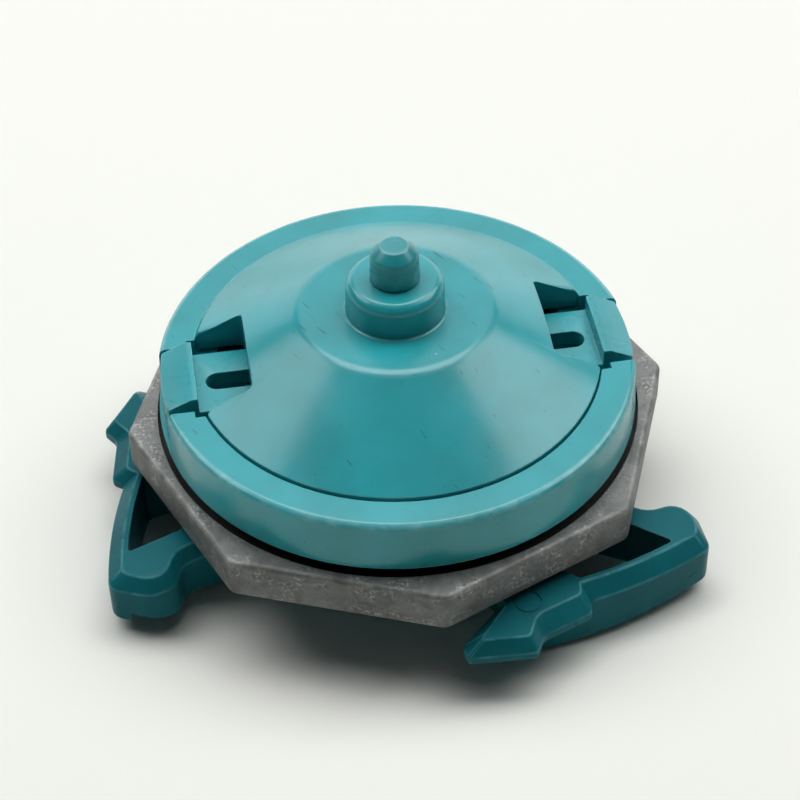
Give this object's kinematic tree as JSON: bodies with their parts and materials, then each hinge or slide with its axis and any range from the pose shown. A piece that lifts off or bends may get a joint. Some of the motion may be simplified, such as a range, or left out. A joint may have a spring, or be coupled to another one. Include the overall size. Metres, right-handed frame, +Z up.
{
  "type": "battling top",
  "caption": "Battling top lying tip up: cone with driving tip over a rim with sliding lock tabs, an eight-sided metal weight disc and a winged attack ring that twists to unlock.",
  "frame": {"origin": "on the spin axis, at the flat face of the chip that the top lies on", "axes": "+Z up along the spin axis towards the driving tip, +X along the travel of the right lock tab"},
  "size_m": [0.0483, 0.0521, 0.0267],
  "materials": {
    "tip_plastic": "moulded, worn dull on its end",
    "teal_plastic": "moulded, semi-gloss",
    "ring_plastic": "moulded, semi-gloss",
    "cast_zinc": "die-cast zinc, tumbled and dull",
    "chip_plastic": "moulded, plain",
    "gear_plastic": "moulded"
  },
  "bodies": {
    "base": {"cone_cap": "teal_plastic", "base_rim": "teal_plastic", "tip_pin": "tip_plastic", "weight_disc": "cast_zinc", "gear_case_front": "gear_plastic", "gear_case_rear": "gear_plastic", "gear_core": "gear_plastic"},
    "right_lock": {"lock_tab_right": "teal_plastic"},
    "left_lock": {"lock_tab_left": "teal_plastic"},
    "ring": {"attack_ring": "ring_plastic", "centre_chip": "chip_plastic"}
  },
  "joints": [
    {"name": "right_lock_slide", "type": "slide", "parent": "base", "child": "right_lock", "axis": [1, 0, 0], "range_m": [0, 0.002]},
    {"name": "left_lock_slide", "type": "slide", "parent": "base", "child": "left_lock", "axis": [-1, 0, 0], "range_m": [0, 0.002]},
    {"name": "ring_twist", "type": "hinge", "parent": "base", "child": "ring", "pos_m": [0, 0, 0.003], "axis": [0, 0, 1], "range_deg": [0, 65]}
  ]
}
